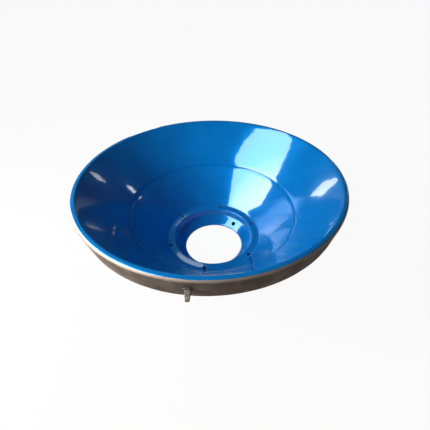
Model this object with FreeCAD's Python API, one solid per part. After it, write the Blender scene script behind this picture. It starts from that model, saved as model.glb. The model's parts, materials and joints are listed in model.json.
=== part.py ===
import FreeCAD, Part
import math
import os
from FreeCAD import Placement, Rotation, Vector

# Cone crusher mantle: a hollow conical wear casting with a short bar lug welded to its rim.
# It is stored mouth up, standing on the face of its small end. Lengths are in millimetres and
# angles in degrees. Z is the axis of the mantle, and z = 0 is the face of the small end.

# Big end: the mouth, its machined land, and the as-cast rim wall.
rim_diameter = 1295.0           # outermost circle of the casting
overall_height = 518.0          # from the small end's face to the rim land
rim_land_width = 10.0           # flat land between the seat and the rounded corner
rim_corner_radius = 12.5        # rounding from the land to the rim wall
rim_wall_taper = 10.0           # lean of the rim wall, inwards on its way down
mouth_chamfer = 2.0             # broken edge between the land and the seat

# Crushing face: a parallel zone beside the rim, then a flatter feed zone down to the collar.
liner_thickness = 74.0          # square to the seat, over the parallel zone
parallel_zone_length = 190.0
skirt_chamfer = 5.0             # lower edge of the rim wall

# Small end: bore, conical nut seat, step, and the ledge with its tapped holes.
bore_diameter = 338.0
bore_land = 8.0                 # straight part of the bore, next to the small end's face
nut_seat_width = 54.0           # radial width of the conical nut seat
nut_seat_height = 38.5
step_height = 43.5              # plain cylindrical step between the nut seat and the ledge
ledge_width = 44.0
ledge_lip_chamfer = 6.0         # inner edge of the ledge
collar_thickness = 69.0         # wall of the collar outside the step
collar_height = 50.0
collar_chamfer = 8.0
collar_root_radius = 60.0       # hollow blend from the collar to the feed zone

# Groove turned round the seat.
groove_drop = 220.0             # below the rim land
groove_width = 6.0
groove_depth = 4.0

# Six blind tapped holes in the ledge, and one locking hole in the nut seat.
ledge_hole_count = 6
ledge_hole_diameter = 17.5
ledge_hole_depth = 40.0
ledge_hole_inset = 12.0         # from the ledge's outer corner to a hole's centre
ledge_hole_angle = 18.2         # of the first hole, from +X
lock_hole_diameter = 24.0
lock_hole_depth = 24.0
lock_hole_share = 0.5           # place between two ledge holes
drill_point_angle = 118.0

# Bar lug welded to the rim wall, tapered to its free end and set slightly off square.
lug_reach = 43.0                # from the rim wall to the free end
lug_root_width = 22.0
lug_root_height = 20.0
lug_end_width = 15.0
lug_end_height = 17.0
lug_edge_chamfer = 1.0
lug_drop = 45.0                 # from the rim land to the lug's top face
lug_angle = -98.2               # of the lug's root, from +X
lug_skew = 8.0                  # of the lug from the radial direction
weld_leg = 7.0                  # of the fillet weld round the lug's root

SHARP = ("sharp", 0.0)

# Places that follow from the sizes above.
rim_radius = rim_diameter / 2
mouth_radius = rim_radius - rim_corner_radius - rim_land_width
bore_radius = bore_diameter / 2
neck_radius = bore_radius + nut_seat_width
ledge_radius = neck_radius + ledge_width
step_foot = bore_land + nut_seat_height
ledge_height = step_foot + step_height
collar_radius = neck_radius + collar_thickness
seat_drop = overall_height - ledge_height
seat_slope = math.atan2(seat_drop, mouth_radius - ledge_radius)
nut_seat_slope = math.atan2(nut_seat_height, nut_seat_width)
wall_taper = math.radians(rim_wall_taper)
lug_overlap = lug_root_width / 2    # how far the bar and the weld start inside the wall

# Where the straight rim wall would meet the plane of the land, before the corner is rounded.
wall_top_radius = (
    rim_radius + rim_corner_radius * ((1 + math.sin(wall_taper)) / math.cos(wall_taper) - 1)
)


def seat_radius(drop):
    """Radius of the seat cone at a given drop below the rim land."""
    return mouth_radius - drop / math.tan(seat_slope)


def wall_radius(drop):
    """Radius of the rim wall at a given drop below the rim land."""
    return wall_top_radius - drop * math.tan(wall_taper)


def skirt_corner():
    """Lower corner of the rim wall, where the parallel face of the liner runs into it."""
    land_span = (wall_top_radius - mouth_radius) * math.sin(seat_slope)
    wall_length = (liner_thickness - land_span) / math.cos(seat_slope + wall_taper)
    drop = wall_length * math.cos(wall_taper)
    return wall_radius(drop), overall_height - drop


def outline(corners):
    """Closed outline in the XZ plane from (radius, height, corner shape) corners.

    A corner shape is ("round", radius), ("chamfer", leg) or SHARP.
    """
    points = [Vector(radius, 0, height) for radius, height, shape in corners]
    runs = []
    for index, corner in enumerate(points):
        kind, size = corners[index][2]
        back = (points[index - 1] - corner).normalize()
        ahead = (points[(index + 1) % len(points)] - corner).normalize()
        half_angle = back.getAngle(ahead) / 2
        run = size / math.tan(half_angle) if kind == "round" else size
        runs.append((kind, size, corner, back * run, ahead * run, half_angle))
    edges = []
    for index, (kind, size, corner, back, ahead, half_angle) in enumerate(runs):
        start = corner + back
        end = corner + ahead
        if kind == "round":
            bisector = (back + ahead).normalize()
            middle = corner + bisector * (size / math.sin(half_angle) - size)
            edges.append(Part.Arc(start, middle, end).toShape())
        elif kind == "chamfer":
            edges.append(Part.LineSegment(start, end).toShape())
        following = runs[(index + 1) % len(runs)]
        edges.append(Part.LineSegment(end, following[2] + following[3]).toShape())
    return Part.Wire(edges)


def turned_body():
    """The casting's wall, revolved in one piece from the mouth to the small end and back."""
    skirt_radius, skirt_height = skirt_corner()
    zone_end_radius = skirt_radius - parallel_zone_length * math.cos(seat_slope)
    zone_end_height = skirt_height - parallel_zone_length * math.sin(seat_slope)
    corners = [
        (mouth_radius, overall_height, ("chamfer", mouth_chamfer)),
        (ledge_radius, ledge_height, SHARP),
        (neck_radius, ledge_height, ("chamfer", ledge_lip_chamfer)),
        (neck_radius, step_foot, SHARP),
        (bore_radius, bore_land, SHARP),
        (bore_radius, 0.0, SHARP),
        (collar_radius, 0.0, ("chamfer", collar_chamfer)),
        (collar_radius, collar_height, ("round", collar_root_radius)),
        (zone_end_radius, zone_end_height, SHARP),
        (skirt_radius, skirt_height, ("chamfer", skirt_chamfer)),
        (wall_top_radius, overall_height, ("round", rim_corner_radius)),
    ]
    section = Part.Face(outline(corners))
    return section.revolve(Vector(0, 0, 0), Vector(0, 0, 1), 360)


def seat_groove():
    """V-shaped groove turned square into the seat, as a ring to cut away."""
    drop = groove_drop
    across = Vector(math.cos(seat_slope), 0, math.sin(seat_slope)) * (groove_width / 2)
    outward = Vector(math.sin(seat_slope), 0, -math.cos(seat_slope))
    middle = Vector(seat_radius(drop), 0, overall_height - drop)
    points = [
        middle + across - outward,
        middle + across,
        middle + outward * groove_depth,
        middle - across,
        middle - across - outward,
    ]
    section = Part.Face(Part.makePolygon(points + points[:1]))
    return section.revolve(Vector(0, 0, 0), Vector(0, 0, 1), 360)


def drilled_hole(diameter, depth, mouth, inward):
    """Blind hole with a drill point, from its mouth along the inward direction."""
    radius = diameter / 2
    overrun = radius
    axis = Vector(inward).normalize()
    barrel = Part.makeCylinder(radius, depth + overrun, mouth - axis * overrun, axis)
    point_height = radius / math.tan(math.radians(drill_point_angle / 2))
    point = Part.makeCone(radius, 0, point_height, mouth + axis * depth, axis)
    return barrel.fuse(point)


def ledge_holes():
    """Circle of tapped holes, square to the ledge and close to its outer corner."""
    circle_radius = ledge_radius - ledge_hole_inset
    holes = []
    for index in range(ledge_hole_count):
        angle = math.radians(ledge_hole_angle + index * 360 / ledge_hole_count)
        mouth = Vector(
            circle_radius * math.cos(angle), circle_radius * math.sin(angle), ledge_height
        )
        holes.append(
            drilled_hole(ledge_hole_diameter, ledge_hole_depth, mouth, Vector(0, 0, -1))
        )
    return holes


def lock_hole():
    """Hole drilled square into the middle of the nut seat, between two ledge holes."""
    angle = math.radians(ledge_hole_angle + lock_hole_share * 360 / ledge_hole_count)
    outward = Vector(math.cos(angle), math.sin(angle), 0)
    mouth = outward * (bore_radius + nut_seat_width / 2)
    mouth.z = bore_land + nut_seat_height / 2
    inward = outward * math.sin(nut_seat_slope) - Vector(0, 0, math.cos(nut_seat_slope))
    return drilled_hole(lock_hole_diameter, lock_hole_depth, mouth, inward)


def mantle_casting():
    """The one casting, turned and drilled."""
    return turned_body().cut([seat_groove(), lock_hole()] + ledge_holes())


def tapered_block(root_width, root_height, end_width, end_height, start, end, rise):
    """Block along +Y, centred on X, tapering evenly from its root at y = start to its end.

    The top face is at z = rise at the root and at z = 0 at the end.
    """
    return Part.makeWedge(
        -root_width / 2, start, rise - root_height, -end_height, -end_width / 2,
        root_width / 2, end, rise, 0.0, end_width / 2,
    )


def lug_placement():
    """Puts what is drawn along +Y, with its root at the origin, against the rim wall."""
    angle = math.radians(lug_angle)
    root_radius = wall_radius(lug_drop)
    root = Vector(
        root_radius * math.cos(angle),
        root_radius * math.sin(angle),
        overall_height - lug_drop,
    )
    quarter_turn = 90
    return Placement(root, Rotation(Vector(0, 0, 1), lug_angle + lug_skew - quarter_turn))


def tapered_bar():
    """The lug before its root is fitted to the wall; the bar starts inside the wall."""
    widening = (lug_root_width - lug_end_width) * lug_overlap / lug_reach
    deepening = (lug_root_height - lug_end_height) * lug_overlap / lug_reach
    bar = tapered_block(
        lug_root_width + widening, lug_root_height + deepening,
        lug_end_width, lug_end_height, -lug_overlap, lug_reach, 0.0,
    )
    bar = bar.makeChamfer(lug_edge_chamfer, bar.Edges)
    bar.Placement = lug_placement()
    return bar


def weld_collar():
    """Fillet weld round the lug: widest on the wall and down to nothing along the bar."""
    foot_width = lug_root_width + 2 * weld_leg
    foot_height = lug_root_height + 2 * weld_leg
    slope = tapered_block(
        foot_width, foot_height, lug_root_width, lug_root_height, 0.0, weld_leg, weld_leg
    )
    foot = Part.makeBox(
        foot_width, lug_overlap, foot_height,
        Vector(-foot_width / 2, -lug_overlap, weld_leg - foot_height),
    )
    collar = slope.fuse(foot)
    collar.Placement = lug_placement()
    return collar


os.makedirs("parts", exist_ok=True)

casting = mantle_casting()
bar = tapered_bar()
lug = bar.cut(casting)
weld = weld_collar().cut([casting, bar])

casting.exportStep("parts/mantle_casting.step")
lug.exportStep("parts/rim_lug.step")
weld.exportStep("parts/lug_weld.step")
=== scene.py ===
import json
import math

import bmesh
import bpy
import numpy as np
from mathutils import Matrix, Vector, noise


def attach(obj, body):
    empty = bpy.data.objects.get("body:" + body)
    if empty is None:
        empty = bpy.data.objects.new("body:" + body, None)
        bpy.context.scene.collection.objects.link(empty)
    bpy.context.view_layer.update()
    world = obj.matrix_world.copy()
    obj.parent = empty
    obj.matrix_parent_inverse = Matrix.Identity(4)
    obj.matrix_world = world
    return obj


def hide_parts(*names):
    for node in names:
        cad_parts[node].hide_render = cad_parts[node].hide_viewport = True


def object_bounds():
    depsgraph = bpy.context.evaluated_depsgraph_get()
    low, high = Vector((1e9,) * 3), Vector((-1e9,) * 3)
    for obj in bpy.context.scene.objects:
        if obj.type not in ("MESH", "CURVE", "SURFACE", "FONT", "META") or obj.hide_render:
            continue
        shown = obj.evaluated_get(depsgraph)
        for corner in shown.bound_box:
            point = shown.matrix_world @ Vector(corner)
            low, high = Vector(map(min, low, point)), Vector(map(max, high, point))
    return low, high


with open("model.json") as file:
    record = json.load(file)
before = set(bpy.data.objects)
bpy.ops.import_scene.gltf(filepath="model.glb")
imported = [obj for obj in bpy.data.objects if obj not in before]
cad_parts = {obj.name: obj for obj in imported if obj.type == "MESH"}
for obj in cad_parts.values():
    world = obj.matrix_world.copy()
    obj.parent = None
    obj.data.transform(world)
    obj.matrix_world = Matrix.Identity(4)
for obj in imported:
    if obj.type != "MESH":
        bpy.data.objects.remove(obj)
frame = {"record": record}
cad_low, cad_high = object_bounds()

# Cone crusher mantle, mouth up on its small end: one casting of manganese steel with a glossy
# enamel seat, a stepped ledge with tapped holes, and a bar lug welded to its rim wall.
# Lengths are in millimetres where a name or a function says so, and otherwise in metres.

MM = 0.001
mounts = {mount["name"]: mount for mount in frame["record"]["mounts"]}
ledge_holes = mounts["ledge_holes"]["dims"]
lock_hole = mounts["lock_hole"]

# Section of the casting, in mm.
overall_height = cad_high.z / MM
rim_radius = cad_high.x / MM
rim_corner_radius = 12.5
rim_wall_taper = math.radians(10.0)
mouth_radius = 625.0
ledge_radius = 267.0
ledge_height = mounts["ledge_face"]["pos_m"][2] / MM
neck_radius = 223.0
step_foot = 46.5
bore_radius = mounts["bore"]["dims"]["r_mm"]
bore_land = mounts["bore"]["dims"]["length_mm"]
liner_thickness = 74.0
parallel_zone_length = 190.0
collar_radius = 292.0
collar_height = 50.0
groove_drop = 220.0
groove_width = 5.0
groove_depth = 4.0
paint_edge_radius = 640.8       # where the enamel stops on the rim's rounding

# Tapped holes in the ledge, and the lug.
ledge_hole_depth = 40.0
ledge_hole_angle = math.radians(18.2)
thread_pitch = 2.5
thread_height = 1.2
painted_depth = 5.0     # how far the spray reached into the holes
lock_hole_depth = 24.0
drill_point_angle = math.radians(118.0)
countersink_depth = 1.2
lug_reach = 43.0
lug_root = (22.0, 20.0)
lug_end = (15.0, 17.0)
lug_drop = 45.0
lug_angle = math.radians(-98.2)
lug_skew = math.radians(8.0)
weld_leg = 7.0

TURNS = 400                         # steps round the casting
CRISP_ANGLE = math.radians(35)      # corners sharper than this stay crisp


def linear(hex_colour):
    """sRGB hex colour as the linear RGBA that Blender's sockets take."""
    channels = [int(hex_colour[i:i + 2], 16) / 255 for i in (1, 3, 5)]
    return [c / 12.92 if c <= 0.04045 else ((c + 0.055) / 1.055) ** 2.4 for c in channels] + [1.0]


def add(tree, kind, inputs=(), **settings):
    """Adds one node with its own settings; inputs gives sockets a value or a link."""
    node = tree.nodes.new("ShaderNode" + kind)
    for name, value in settings.items():
        setattr(node, name, value)
    for socket, value in dict(inputs).items():
        if isinstance(value, bpy.types.NodeSocket):
            tree.links.new(value, node.inputs[socket])
        else:
            node.inputs[socket].default_value = value
    return node


def material_tree(name):
    """An empty node material and its tree."""
    material = bpy.data.materials.new(name)
    material.use_nodes = True
    material.node_tree.nodes.clear()
    return material, material.node_tree


def per_metre(size_mm):
    """Texture scale at which one feature is about size_mm across."""
    return 1000.0 / size_mm


# ---------------------------------------------------------------- finishes

def gloss_enamel():
    """Machinery enamel, sprayed thick over the turned seat: deep blue with a hard wet gloss,
    reflections that waver with the orange peel, and slightly uneven cover."""
    material, tree = material_tree("gloss_machinery_enamel")
    place = add(tree, "TexCoord").outputs["Object"]
    cover = add(tree, "TexNoise", {"Vector": place, "Scale": per_metre(160), "Detail": 3.0})
    cloud = add(tree, "ValToRGB", {"Fac": cover.outputs["Fac"]})
    cloud.color_ramp.elements[0].position = 0.35
    cloud.color_ramp.elements[0].color = linear("#0075C1")
    cloud.color_ramp.elements[1].position = 0.68
    cloud.color_ramp.elements[1].color = linear("#007FCD")
    waver = add(tree, "TexNoise", {"Vector": place, "Scale": per_metre(55), "Detail": 1.0})
    peel = add(tree, "TexNoise", {"Vector": place, "Scale": per_metre(9), "Detail": 2.0})
    long_wave = add(tree, "Bump", {
        "Height": waver.outputs["Fac"], "Distance": 0.9 * MM, "Strength": 0.35})
    skin = add(tree, "Bump", {
        "Height": peel.outputs["Fac"], "Distance": 0.06 * MM, "Strength": 0.6,
        "Normal": long_wave.outputs["Normal"]})
    dulling = add(tree, "MapRange", {
        "Value": cover.outputs["Fac"], "From Min": 0.3, "From Max": 0.7,
        "To Min": 0.16, "To Max": 0.26})
    shader = add(tree, "BsdfPrincipled", {
        "Base Color": cloud.outputs["Color"], "Roughness": dulling.outputs["Result"],
        "IOR": 1.5, "Specular Tint": linear("#30B8FF"),
        "Coat Weight": 1.0, "Coat Roughness": 0.045, "Coat IOR": 1.5,
        "Normal": skin.outputs["Normal"], "Coat Normal": skin.outputs["Normal"]})
    add(tree, "OutputMaterial", {"Surface": shader.outputs["BSDF"]})
    return material


def as_cast_manganese_steel():
    """Manganese steel as it left the sand: dark brown-grey scale with rust bloom and a fine
    gritty skin; the rim edge, ground after fettling, carries a painted highlight where its
    upturned rounding catches the light."""
    material, tree = material_tree("as_cast_manganese_steel")
    place = add(tree, "TexCoord").outputs["Object"]
    patches = add(tree, "TexNoise", {"Vector": place, "Scale": per_metre(90), "Detail": 5.0,
                                     "Roughness": 0.6})
    scale_colour = add(tree, "ValToRGB", {"Fac": patches.outputs["Fac"]})
    ramp = scale_colour.color_ramp
    ramp.elements[0].position = 0.32
    ramp.elements[0].color = linear("#4A3E36")
    ramp.elements[1].position = 0.66
    ramp.elements[1].color = linear("#7A6A5B")
    middle = ramp.elements.new(0.5)
    middle.color = linear("#5F5146")
    rust = add(tree, "TexNoise", {"Vector": place, "Scale": per_metre(24), "Detail": 6.0})
    rust_mask = add(tree, "MapRange", {
        "Value": rust.outputs["Fac"], "From Min": 0.54, "From Max": 0.66,
        "To Min": 0.0, "To Max": 0.55})
    rusted = add(tree, "Mix", {
        "Factor": rust_mask.outputs["Result"], 6: scale_colour.outputs["Color"],
        7: linear("#6B4630")}, data_type="RGBA")
    height = add(tree, "SeparateXYZ", {"Vector": place}).outputs["Z"]
    ragged = add(tree, "Math", {0: patches.outputs["Fac"], 1: 8.0 * MM, 2: height},
                 operation="MULTIPLY_ADD")
    # Rim's top edge: less rough where it was ground, and painted lighter as a highlight where the
    # upturned rounding catches the light.
    ground_and_highlit_rim = add(tree, "MapRange", {
        "Value": ragged.outputs["Value"],
        "From Min": (overall_height - 10.0) * MM, "From Max": (overall_height - 3.0) * MM})
    # The lighter brown laid on the rim edge here is a painted highlight.
    edge = add(tree, "Mix", {
        "Factor": ground_and_highlit_rim.outputs["Result"], 6: rusted.outputs[2], 7: linear("#9C8A78")},
        data_type="RGBA")
    grit = add(tree, "TexNoise", {"Vector": place, "Scale": per_metre(3.5), "Detail": 3.0})
    pits = add(tree, "TexVoronoi", {"Vector": place, "Scale": per_metre(14)})
    pitted = add(tree, "Bump", {
        "Height": pits.outputs["Distance"], "Distance": 0.7 * MM, "Strength": 0.4})
    skin = add(tree, "Bump", {
        "Height": grit.outputs["Fac"], "Distance": 0.8 * MM, "Strength": 0.8,
        "Normal": pitted.outputs["Normal"]})
    smoothing = add(tree, "MapRange", {
        "Value": ground_and_highlit_rim.outputs["Result"], "To Min": 0.82, "To Max": 0.5})
    shader = add(tree, "BsdfPrincipled", {
        "Base Color": edge.outputs[2], "Roughness": smoothing.outputs["Result"],
        "Metallic": 0.25, "Specular IOR Level": 0.35, "Normal": skin.outputs["Normal"]})
    add(tree, "OutputMaterial", {"Surface": shader.outputs["BSDF"]})
    return material


def turned_steel():
    """Bare turned steel of the small end's face: fine rings left by the tool, dulled by damp."""
    material, tree = material_tree("turned_manganese_steel")
    place = add(tree, "TexCoord").outputs["Object"]
    split = add(tree, "SeparateXYZ", {"Vector": place})
    flat = add(tree, "CombineXYZ", {"X": split.outputs["X"], "Y": split.outputs["Y"]})
    radius = add(tree, "VectorMath", {0: flat.outputs["Vector"]}, operation="LENGTH")
    turns = add(tree, "Math", {0: radius.outputs["Value"], 1: 2 * math.pi / (1.2 * MM)},
                operation="MULTIPLY")
    rings = add(tree, "Math", {0: turns.outputs["Value"]}, operation="SINE")
    stain = add(tree, "TexNoise", {"Vector": place, "Scale": per_metre(35), "Detail": 5.0})
    tone = add(tree, "Mix", {
        "Factor": stain.outputs["Fac"], 6: linear("#8C8580"), 7: linear("#6E5F54")},
        data_type="RGBA")
    marks = add(tree, "Bump", {
        "Height": rings.outputs["Value"], "Distance": 0.05 * MM, "Strength": 0.7})
    shader = add(tree, "BsdfPrincipled", {
        "Base Color": tone.outputs[2], "Metallic": 0.85, "Roughness": 0.42,
        "Normal": marks.outputs["Normal"]})
    add(tree, "OutputMaterial", {"Surface": shader.outputs["BSDF"]})
    return material


def oiled_thread_steel():
    """Oiled bare steel down in the tapped holes: nearly black, with a thin wet glint."""
    material, tree = material_tree("oiled_thread_steel")
    place = add(tree, "TexCoord").outputs["Object"]
    film = add(tree, "TexNoise", {"Vector": place, "Scale": per_metre(4), "Detail": 2.0})
    tone = add(tree, "Mix", {
        "Factor": film.outputs["Fac"], 6: linear("#14171C"), 7: linear("#2B2D30")},
        data_type="RGBA")
    shader = add(tree, "BsdfPrincipled", {
        "Base Color": tone.outputs[2], "Metallic": 0.6, "Roughness": 0.35})
    add(tree, "OutputMaterial", {"Surface": shader.outputs["BSDF"]})
    return material


def rolled_bar_steel():
    """Hot-rolled bar of the lug: tan mill scale in lighter and darker patches, with rust
    freckles.
    """
    material, tree = material_tree("hot_rolled_bar_steel")
    place = add(tree, "TexCoord").outputs["Object"]
    scale_patches = add(tree, "TexNoise", {
        "Vector": place, "Scale": per_metre(11), "Detail": 5.0, "Roughness": 0.65})
    tone = add(tree, "ValToRGB", {"Fac": scale_patches.outputs["Fac"]})
    tone.color_ramp.elements[0].position = 0.38
    tone.color_ramp.elements[0].color = linear("#6E5F50")
    tone.color_ramp.elements[1].position = 0.62
    tone.color_ramp.elements[1].color = linear("#9A8B78")
    freckles = add(tree, "TexNoise", {"Vector": place, "Scale": per_metre(2.5), "Detail": 3.0})
    freckle_mask = add(tree, "MapRange", {
        "Value": freckles.outputs["Fac"], "From Min": 0.58, "From Max": 0.66, "To Max": 0.6})
    freckled = add(tree, "Mix", {
        "Factor": freckle_mask.outputs["Result"], 6: tone.outputs["Color"],
        7: linear("#5A3A26")}, data_type="RGBA")
    skin = add(tree, "Bump", {
        "Height": scale_patches.outputs["Fac"], "Distance": 0.35 * MM, "Strength": 0.7})
    shader = add(tree, "BsdfPrincipled", {
        "Base Color": freckled.outputs[2], "Metallic": 0.45, "Roughness": 0.5,
        "Normal": skin.outputs["Normal"]})
    add(tree, "OutputMaterial", {"Surface": shader.outputs["BSDF"]})
    return material


def weld_metal():
    """Stick-weld bead left bare: dark grey-brown with a dull sheen on its ripples."""
    material, tree = material_tree("bare_weld_metal")
    place = add(tree, "TexCoord").outputs["Object"]
    heat = add(tree, "TexNoise", {"Vector": place, "Scale": per_metre(7), "Detail": 4.0})
    tone = add(tree, "ValToRGB", {"Fac": heat.outputs["Fac"]})
    tone.color_ramp.elements[0].position = 0.35
    tone.color_ramp.elements[0].color = linear("#352C27")
    tone.color_ramp.elements[1].position = 0.7
    tone.color_ramp.elements[1].color = linear("#5E5047")
    grain = add(tree, "Bump", {
        "Height": heat.outputs["Fac"], "Distance": 0.3 * MM, "Strength": 0.6})
    shader = add(tree, "BsdfPrincipled", {
        "Base Color": tone.outputs["Color"], "Metallic": 0.6, "Roughness": 0.48,
        "Normal": grain.outputs["Normal"]})
    add(tree, "OutputMaterial", {"Surface": shader.outputs["BSDF"]})
    return material


# ---------------------------------------------------------------- the turned section

ENAMEL, CAST, TURNED, THREAD = range(4)

seat_slope = math.atan2(overall_height - ledge_height, mouth_radius - ledge_radius)
wall_top_radius = rim_radius + rim_corner_radius * (
    (1 + math.sin(rim_wall_taper)) / math.cos(rim_wall_taper) - 1)


def skirt_corner():
    """Lower corner of the rim wall, where the parallel face of the liner runs into it."""
    land_span = (wall_top_radius - mouth_radius) * math.sin(seat_slope)
    length = (liner_thickness - land_span) / math.cos(seat_slope + rim_wall_taper)
    return (wall_top_radius - length * math.sin(rim_wall_taper),
            overall_height - length * math.cos(rim_wall_taper))


def section_corners():
    """Corners of the section as (radius, height, rounding, steps, finish of the run after it,
    row spacing of that run), from the mouth down the seat and back up the outside, in mm."""
    skirt_radius, skirt_height = skirt_corner()
    zone_radius = skirt_radius - parallel_zone_length * math.cos(seat_slope)
    zone_height = skirt_height - parallel_zone_length * math.sin(seat_slope)
    groove_radius = mouth_radius - groove_drop / math.tan(seat_slope)
    groove_height = overall_height - groove_drop
    along = Vector((math.cos(seat_slope), math.sin(seat_slope))) * groove_width / 2
    into = Vector((math.sin(seat_slope), -math.cos(seat_slope))) * groove_depth
    middle = Vector((groove_radius, groove_height))
    upper, lower = middle + along, middle - along
    return [
        (mouth_radius, overall_height, 2.0, 3, ENAMEL, 20.0),
        (*upper, 0.8, 2, ENAMEL, 4.0),
        (*(middle + into), 0.8, 2, ENAMEL, 4.0),
        (*lower, 0.8, 2, ENAMEL, 20.0),
        (ledge_radius, ledge_height, 14.0, 7, ENAMEL, 6.0),
        (neck_radius, ledge_height, 8.0, 8, ENAMEL, 12.0),
        (neck_radius, step_foot, 3.0, 4, ENAMEL, 9.0),
        (bore_radius, bore_land, 1.5, 3, ENAMEL, 6.0),
        (bore_radius, 0.0, 1.0, 3, TURNED, 12.0),
        (collar_radius, 0.0, 8.0, 6, CAST, 8.0),
        (collar_radius, collar_height, 60.0, 14, CAST, 10.0),
        (zone_radius, zone_height, 40.0, 4, CAST, 10.0),
        (skirt_radius, skirt_height, 6.0, 5, CAST, 8.0),
        (wall_top_radius, overall_height, rim_corner_radius, 10, ENAMEL, 4.0),
    ]


def paint_edge_step(steps):
    """Step of the rim corner's rounding, from the wall up, at which the enamel starts."""
    turn = math.acos((paint_edge_radius - rim_radius + rim_corner_radius) / rim_corner_radius)
    return round(steps * (turn + rim_wall_taper) / (math.pi / 2 + rim_wall_taper))


def section_rows():
    """Points of the closed section as (radius, height, finish of the strip after it), mm."""
    corners = section_corners()
    spots = [Vector(corner[:2]) for corner in corners]
    arcs = []
    for index, spot in enumerate(spots):
        rounding, steps = corners[index][2:4]
        back = (spots[index - 1] - spot).normalized()
        ahead = (spots[(index + 1) % len(spots)] - spot).normalized()
        half = back.angle(ahead) / 2
        run = rounding / math.tan(half)
        centre = spot + (back + ahead).normalized() * rounding / math.sin(half)
        start, end = spot + back * run - centre, spot + ahead * run - centre
        sweep = start.angle_signed(end)
        arcs.append([
            centre + Matrix.Rotation(-sweep * step / steps, 2) @ start
            for step in range(steps + 1)])
    rows = []
    for index, arc in enumerate(arcs):
        before = corners[index - 1][4]
        after, spacing = corners[index][4:]
        switch = paint_edge_step(len(arc) - 1) if arc is arcs[-1] else len(arc) // 2
        rows += [(*point, before if order < switch else after)
                 for order, point in enumerate(arc[:-1])]
        following = arcs[(index + 1) % len(arcs)][0]
        length = (following - arc[-1]).length
        pieces = max(1, round(length / spacing))
        rows += [(*arc[-1].lerp(following, step / pieces), after) for step in range(pieces)]
    return rows


def lathe(name, rows, turns):
    """Closed surface of revolution about Z from section rows in mm, seams shared."""
    radii = np.array([row[0] for row in rows]) * MM
    heights = np.array([row[1] for row in rows]) * MM
    angles = np.arange(turns) * 2 * math.pi / turns
    points = np.stack([
        np.outer(np.cos(angles), radii), np.outer(np.sin(angles), radii),
        np.tile(heights, (turns, 1))], axis=-1).reshape(-1, 3)
    count = len(rows)
    faces, finishes = [], []
    for turn in range(turns):
        this, following = turn * count, (turn + 1) % turns * count
        for row in range(count):
            beyond = (row + 1) % count
            faces.append((this + row, following + row, following + beyond, this + beyond))
            finishes.append(rows[row][2])
    mesh = bpy.data.meshes.new(name)
    mesh.from_pydata(points.tolist(), [], faces)
    mesh.polygons.foreach_set("material_index", finishes)
    return mesh


def unevenness(point, size_mm, seed):
    """Smooth noise from -1 to 1 with features of about size_mm, at a point in metres."""
    return noise.noise(Vector(point) * per_metre(size_mm) + Vector((seed, seed, seed)))


def new_piece(name, mesh, materials):
    """A named object of the casting's frame with its materials, smooth with crisp corners."""
    piece = bpy.data.objects.new(name, mesh)
    bpy.context.scene.collection.objects.link(piece)
    for material in materials:
        mesh.materials.append(material)
    crisp(mesh)
    return piece


def crisp(mesh):
    """Smooth shading that stays sharp across crisp corners."""
    mesh.shade_smooth()
    mesh.set_sharp_from_angle(angle=CRISP_ANGLE)


def outward(mesh):
    """Turns every face to the outside."""
    work = bmesh.new()
    work.from_mesh(mesh)
    bmesh.ops.recalc_face_normals(work, faces=work.faces)
    work.to_mesh(mesh)
    work.free()


def roughen_casting(mesh):
    """Sinks the as-cast faces by up to 1 mm, as sand leaves them, and wanders the paint edge."""
    cast = np.zeros(len(mesh.vertices), bool)
    other = np.zeros(len(mesh.vertices), bool)
    for face in mesh.polygons:
        (cast if face.material_index == CAST else other)[list(face.vertices)] = True
    points = [vertex.co.copy() for vertex in mesh.vertices]
    normals = [vertex.normal.copy() for vertex in mesh.vertices]
    rounding_centre = (rim_radius - rim_corner_radius) * MM
    for index, point in enumerate(points):
        if cast[index] and not other[index]:
            swell = 0.6 * unevenness(point, 70, 3.1) + 0.4 * unevenness(point, 24, 8.7)
            points[index] = point - normals[index] * (0.45 + 0.45 * swell) * MM
        elif cast[index] and point.z > (overall_height - 4.0) * MM:
            radius = math.hypot(point.x, point.y)
            shift = 0.9 * unevenness(point, 30, 5.3) + 0.5 * unevenness(point, 9, 1.9)
            moved = radius + shift * MM
            rise = math.sqrt((rim_corner_radius * MM) ** 2 - (moved - rounding_centre) ** 2)
            points[index] = Vector((
                point.x * moved / radius, point.y * moved / radius,
                (overall_height - rim_corner_radius) * MM + rise))
    mesh.vertices.foreach_set("co", np.array(points).ravel())
    mesh.update()


# ---------------------------------------------------------------- holes

def threaded_drill(mouth, axis, radius, depth, thread):
    """Cutter for a blind hole in metres: countersunk mouth, helical thread and drill point."""
    around, overrun, countersink = 32, 6.0 * MM, countersink_depth * MM
    levels = [-overrun, 0.0, countersink]
    step = thread_pitch * MM / 4 if thread else 3.0 * MM
    while levels[-1] + step < depth:
        levels.append(levels[-1] + step)
    levels.append(depth)
    work = bmesh.new()
    rings = []
    for order, level in enumerate(levels):
        ring = []
        for index in range(around):
            turn = index / around
            spread = radius
            if order < 2:
                spread += countersink + thread
            elif thread:
                phase = (level / (thread_pitch * MM) - turn) % 1.0
                fade = min(1.0, (depth - level) / (thread_pitch * MM))
                spread += thread * fade * (1 - abs(2 * phase - 1))
            angle = 2 * math.pi * turn
            ring.append(work.verts.new(
                (spread * math.cos(angle), spread * math.sin(angle), -level)))
        rings.append(ring)
    for above, below, level in zip(rings, rings[1:], levels[1:]):
        for index in range(around):
            beyond = (index + 1) % around
            wall = work.faces.new((above[index], below[index], below[beyond], above[beyond]))
            wall.material_index = ENAMEL if level < painted_depth * MM else THREAD
    work.faces.new(rings[0])
    tip = work.verts.new((0, 0, -depth - radius / math.tan(drill_point_angle / 2)))
    for index in range(around):
        cone = work.faces.new((rings[-1][index], tip, rings[-1][(index + 1) % around]))
        cone.material_index = THREAD
    bmesh.ops.recalc_face_normals(work, faces=work.faces)
    turn_to = Vector(axis).normalized().to_track_quat("Z", "Y").to_matrix().to_4x4()
    bmesh.ops.transform(work, matrix=Matrix.Translation(mouth) @ turn_to, verts=work.verts)
    return work


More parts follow.
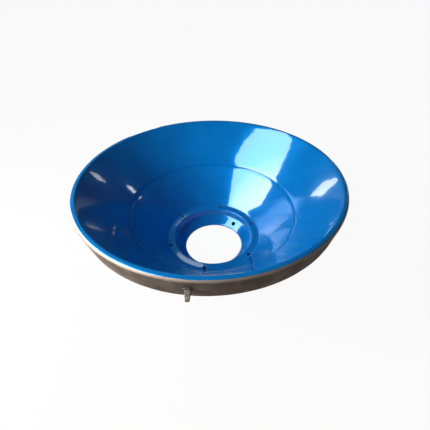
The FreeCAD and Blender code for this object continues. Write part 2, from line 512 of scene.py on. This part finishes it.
def hole_cutters():
    """One mesh with all seven cutters."""
    radius = ledge_holes["hole_r_mm"] * MM
    pitch_radius = ledge_holes["pcd_mm"] / 2 * MM
    cutters = []
    for index in range(ledge_holes["count"]):
        angle = ledge_hole_angle + index * 2 * math.pi / ledge_holes["count"]
        mouth = Vector((pitch_radius * math.cos(angle), pitch_radius * math.sin(angle),
                        ledge_height * MM))
        cutters.append(threaded_drill(
            mouth, (0, 0, 1), radius, ledge_hole_depth * MM, thread_height * MM))
    cutters.append(threaded_drill(
        Vector(lock_hole["pos_m"]), lock_hole["axis"], lock_hole["dims"]["r_mm"] * MM,
        lock_hole_depth * MM, 0.0))
    whole = bpy.data.meshes.new("hole_cutters")
    joined = bmesh.new()
    for cutter in cutters:
        part = bpy.data.meshes.new("cutter")
        cutter.to_mesh(part)
        cutter.free()
        joined.from_mesh(part)
        bpy.data.meshes.remove(part)
    joined.to_mesh(whole)
    joined.free()
    return whole


def mantle_piece(materials):
    """The casting, turned from its section, roughened outside and drilled."""
    mesh = lathe("mantle_casting_fine", section_rows(), TURNS)
    outward(mesh)
    roughen_casting(mesh)
    piece = new_piece("mantle_casting_fine", mesh, materials)
    cutter = new_piece("cutter", hole_cutters(), materials)
    drilling = piece.modifiers.new("drilling", "BOOLEAN")
    drilling.operation = "DIFFERENCE"
    drilling.solver = "MANIFOLD"
    drilling.object = cutter
    bpy.context.view_layer.update()
    drilled = bpy.data.meshes.new_from_object(
        piece.evaluated_get(bpy.context.evaluated_depsgraph_get()))
    piece.modifiers.clear()
    piece.data = drilled
    bpy.data.objects.remove(cutter)
    crisp(drilled)
    return piece


# ---------------------------------------------------------------- lug and weld

def lug_frame():
    """Matrix that puts what is drawn along +Y from the wall, in metres, at the lug's place."""
    root_radius = wall_top_radius - lug_drop * math.tan(rim_wall_taper)
    root = Vector((root_radius * math.cos(lug_angle), root_radius * math.sin(lug_angle),
                   overall_height - lug_drop)) * MM
    return Matrix.Translation(root) @ Matrix.Rotation(
        lug_angle + lug_skew - math.pi / 2, 4, "Z")


def lug_corner(share):
    """Half width, top and bottom of the bar in mm at a share of its reach from the wall."""
    width = lug_root[0] + (lug_end[0] - lug_root[0]) * share
    height = lug_root[1] + (lug_end[1] - lug_root[1]) * share
    return width / 2, 0.0, -height


def lug_piece(material):
    """The tapered bar with worn edges, a slightly dished saw cut and a hammered skin."""
    work = bmesh.new()
    rings = []
    for share in (-0.12, 1.0):
        half, top, bottom = lug_corner(share)
        reach = lug_reach * share
        rings.append([work.verts.new(Vector(spot) * MM) for spot in (
            (-half, reach, bottom), (half, reach, bottom), (half, reach, top),
            (-half, reach, top))])
    work.faces.new(rings[0])
    work.faces.new(rings[1])
    for index in range(4):
        beyond = (index + 1) % 4
        work.faces.new((rings[0][index], rings[0][beyond], rings[1][beyond], rings[1][index]))
    bmesh.ops.recalc_face_normals(work, faces=work.faces)
    bmesh.ops.bevel(work, geom=work.edges[:], offset=1.3 * MM, segments=3, profile=0.5,
                    affect="EDGES")
    bmesh.ops.subdivide_edges(work, edges=work.edges[:], cuts=5, use_grid_fill=True)
    work.normal_update()
    for vertex in work.verts:
        dent = unevenness(vertex.co, 9, 2.2) + 0.5 * unevenness(vertex.co, 4, 6.4)
        vertex.co -= vertex.normal * (0.25 + 0.2 * dent) * MM
    bmesh.ops.transform(work, matrix=lug_frame(), verts=work.verts)
    mesh = bpy.data.meshes.new("rim_lug_bar")
    work.to_mesh(mesh)
    work.free()
    return new_piece("rim_lug_bar", mesh, [material])


def weld_path(stations):
    """Points round the bar's root where wall and bar meet, in mm, with the way out of the bar."""
    half, top, bottom = lug_corner(0.0)
    centre = Vector((0, (top + bottom) / 2))
    corner = 3.0
    spots = []
    for x, z, start in ((half, top, 0), (-half, top, 90), (-half, bottom, 180),
                        (half, bottom, 270)):
        inner = Vector((x - math.copysign(corner, x),
                        z - math.copysign(corner, z - centre.y)))
        for step in range(4):
            angle = math.radians(start + step * 30)
            way = Vector((math.cos(angle), math.sin(angle)))
            spots.append((inner + way * corner, way))
    lengths = [0.0]
    for (a, _), (b, _) in zip(spots, spots[1:] + spots[:1]):
        lengths.append(lengths[-1] + (b - a).length)
    path = []
    for station in range(stations):
        travelled = lengths[-1] * station / stations
        index = max(i for i, length in enumerate(lengths[:-1]) if length <= travelled)
        share = (travelled - lengths[index]) / (lengths[index + 1] - lengths[index])
        (a, way_a), (b, way_b) = spots[index], spots[(index + 1) % len(spots)]
        path.append((a.lerp(b, share), way_a.lerp(way_b, share).normalized(), travelled))
    return path


def weld_piece(material):
    """Hand-laid fillet weld: a convex bead with ripples, uneven in width."""
    stations, across = 220, 12
    ripple_pitch = 3.4
    lean = math.tan(rim_wall_taper)
    work = bmesh.new()
    rings = []
    for spot, way, travelled in weld_path(stations):
        wander = unevenness(Vector((spot.x, spot.y, 0)) * MM, 12, 4.4)
        leg = weld_leg * (0.9 + 0.12 * wander)
        phase = travelled / ripple_pitch % 1.0
        ripple = 0.35 * (phase ** 0.5 - 0.6)
        ring = []
        for step in range(across):
            turn = 2 * math.pi * step / across
            away, along = math.cos(turn), math.sin(turn)
            out = leg * 0.42 + away * (leg * 0.5 + ripple)
            lift = leg * 0.30 + along * (leg * 0.62 + ripple)
            x, z = spot + way * out
            ring.append(work.verts.new(Vector((x, lift + z * lean, z)) * MM))
        rings.append(ring)
    for this, following in zip(rings, rings[1:] + rings[:1]):
        for step in range(across):
            beyond = (step + 1) % across
            work.faces.new((this[step], following[step], following[beyond], this[beyond]))
    bmesh.ops.recalc_face_normals(work, faces=work.faces)
    bmesh.ops.transform(work, matrix=lug_frame(), verts=work.verts)
    mesh = bpy.data.meshes.new("lug_weld_bead")
    work.to_mesh(mesh)
    work.free()
    return new_piece("lug_weld_bead", mesh, [material])


# ---------------------------------------------------------------- stage, light and camera

def pale_floor():
    """Plain matt floor that reads nearly white to the eye, with a trace of the object's shadow.
    In gloss it is pale away from the mantle, and in its own shade under the bore."""
    half = 40.0
    mesh = bpy.data.meshes.new("floor")
    mesh.from_pydata([(-half, -half, 0), (half, -half, 0), (half, half, 0), (-half, half, 0)],
                     [], [(0, 1, 2, 3)])
    floor = bpy.data.objects.new("floor", mesh)
    bpy.context.scene.collection.objects.link(floor)
    material, tree = material_tree("pale_floor")
    path = add(tree, "LightPath")
    mirrored = add(tree, "Math", {
        0: path.outputs["Is Glossy Ray"], 1: path.outputs["Is Transmission Ray"]},
        operation="MAXIMUM")
    from_axis = add(tree, "VectorMath", {0: add(tree, "TexCoord").outputs["Object"]},
                    operation="LENGTH")
    clear_of_bore = add(tree, "MapRange", {
        "Value": from_axis.outputs["Value"], "From Min": 0.4, "From Max": 0.9,
        "To Min": 0.0, "To Max": 0.6})
    in_gloss = add(tree, "Math", {
        0: mirrored.outputs["Value"], 1: clear_of_bore.outputs["Result"]}, operation="MULTIPLY")
    to_eye = add(tree, "Math", {0: path.outputs["Is Camera Ray"], 1: 0.94}, operation="MULTIPLY")
    share = add(tree, "Math", {0: to_eye.outputs["Value"], 1: in_gloss.outputs["Value"]},
                operation="MAXIMUM")
    matt = add(tree, "BsdfDiffuse", {"Color": linear("#E4E4E4")})
    white = add(tree, "Emission", {"Color": linear("#FFFFFF"), "Strength": 1.0})
    both = add(tree, "MixShader", {
        0: share.outputs["Value"], 1: matt.outputs["BSDF"], 2: white.outputs["Emission"]})
    add(tree, "OutputMaterial", {"Surface": both.outputs["Shader"]})
    mesh.materials.append(material)


def studio_world():
    """Dim room light; the eye sees a white backdrop, and gloss sees it low on the horizon."""
    world = bpy.data.worlds.new("studio")
    bpy.context.scene.world = world
    world.use_nodes = True
    tree = world.node_tree
    tree.nodes.clear()
    path = add(tree, "LightPath")
    mirrored = add(tree, "Math", {
        0: path.outputs["Is Glossy Ray"], 1: path.outputs["Is Transmission Ray"]},
        operation="MAXIMUM")
    rise = add(tree, "SeparateXYZ", {
        "Vector": add(tree, "TexCoord").outputs["Generated"]}).outputs["Z"]
    low_band = add(tree, "MapRange", {
        "Value": rise, "From Min": 0.08, "From Max": 0.16, "To Min": 0.25, "To Max": 0.0})
    in_gloss = add(tree, "Math", {
        0: mirrored.outputs["Value"], 1: low_band.outputs["Result"]}, operation="MULTIPLY")
    share = add(tree, "Math", {0: path.outputs["Is Camera Ray"], 1: in_gloss.outputs["Value"]},
                operation="MAXIMUM")
    room = add(tree, "Background", {"Color": linear("#FFFFFF"), "Strength": 0.05})
    backdrop = add(tree, "Background", {"Color": linear("#FFFFFF"), "Strength": 1.0})
    both = add(tree, "MixShader", {
        0: share.outputs["Value"], 1: room.outputs["Background"],
        2: backdrop.outputs["Background"]})
    add(tree, "OutputWorld", {"Surface": both.outputs["Shader"]})


def softbox(name, place, target, size, power):
    """A white rectangular softbox in metres and watts, turned to its target."""
    lamp = bpy.data.lights.new(name, "AREA")
    lamp.shape = "RECTANGLE"
    lamp.size, lamp.size_y = size
    lamp.energy = power
    box = bpy.data.objects.new(name, lamp)
    box.location = place
    box.rotation_euler = (Vector(target) - Vector(place)).to_track_quat("-Z", "Y").to_euler()
    bpy.context.scene.collection.objects.link(box)
    return box


def gloss_card(name, bearing, distance, sides, heights, strength, low="#FFFFFF", high="#FFFFFF",
               blend=(0.0, 1.0)):
    """Upright bright card in metres that only gloss picks up. It faces the axis from a bearing
    in degrees, and its colour goes from low to high between the two blend heights."""
    angle = math.radians(bearing)
    away = Vector((math.cos(angle), math.sin(angle), 0)) * distance
    side = Vector((-math.sin(angle), math.cos(angle), 0))
    (left, right), (bottom, top) = sides, heights
    corners = [away + side * s + Vector((0, 0, z))
               for s, z in ((left, bottom), (right, bottom), (right, top), (left, top))]
    mesh = bpy.data.meshes.new(name)
    mesh.from_pydata(corners, [], [(0, 1, 2, 3)])
    card = bpy.data.objects.new(name, mesh)
    bpy.context.scene.collection.objects.link(card)
    material, tree = material_tree(name + "_glow")
    height = add(tree, "SeparateXYZ", {
        "Vector": add(tree, "TexCoord").outputs["Object"]}).outputs["Z"]
    tint = add(tree, "ValToRGB", {"Fac": add(tree, "MapRange", {
        "Value": height, "From Min": blend[0], "From Max": blend[1]}).outputs["Result"]})
    tint.color_ramp.elements[0].color = linear(low)
    tint.color_ramp.elements[1].color = linear(high)
    glow = add(tree, "Emission", {"Color": tint.outputs["Color"], "Strength": strength})
    add(tree, "OutputMaterial", {"Surface": glow.outputs["Emission"]})
    mesh.materials.append(material)
    for ray in ("camera", "diffuse", "transmission", "volume_scatter", "shadow"):
        setattr(card, "visible_" + ray, False)


def studio_camera():
    """The viewer stands at the front, a little above the rim, with a wide lens."""
    camera = bpy.data.objects.new("camera", bpy.data.cameras.new("camera"))
    bpy.context.scene.collection.objects.link(camera)
    bpy.context.scene.camera = camera
    camera.data.lens = 23.0
    camera.data.sensor_width = 36.0
    camera.data.shift_x = -0.0255
    camera.data.shift_y = 0.0009
    camera.location = (0.0, -1.1657, 1.2431)
    aim = Vector((0.0522, -0.3323, 0.518)) - camera.location
    level = aim.to_track_quat("-Z", "Y").to_matrix()
    roll = Matrix.Rotation(math.radians(0.38), 3, "Z")
    camera.rotation_euler = (level @ roll).to_euler()


# ---------------------------------------------------------------- putting it together

casting_finishes = [gloss_enamel(), as_cast_manganese_steel(), turned_steel(),
                    oiled_thread_steel()]
casting = mantle_piece(casting_finishes)
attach(casting, "root")
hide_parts("mantle_casting")

lug = lug_piece(rolled_bar_steel())
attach(lug, "root")
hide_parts("rim_lug")

weld = weld_piece(weld_metal())
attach(weld, "root")
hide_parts("lug_weld")

pale_floor()
studio_world()
key = softbox("key_softbox", (-2.17, -0.79, 1.80), (0.0, 0.0, 0.30), (1.6, 1.6), 100.0)
key.visible_glossy = False      # in gloss the cards stand in for it
gloss_card("doorway_card", -170, 2.0, (-1.12, 1.58), (0.75, 3.75), 16.0,
           low="#FFFFFF", high="#BCE0FF", blend=(1.7, 2.5))
gloss_card("strip_card", 112, 2.75, (-0.27, 0.15), (0.76, 1.26), 8.0)
gloss_card("far_card", 53, 4.1, (-0.10, 0.16), (1.98, 2.28), 5.0)
gloss_card("side_card", 36, 4.0, (-0.14, 0.14), (1.93, 2.19), 9.0)
gloss_card("small_card", -20, 3.0, (-0.05, 0.05), (1.90, 2.10), 4.0)
gloss_card("back_card", 99, 2.0, (-0.10, 0.32), (2.42, 3.00), 4.0)
studio_camera()

bpy.context.scene.view_settings.view_transform = "Standard"
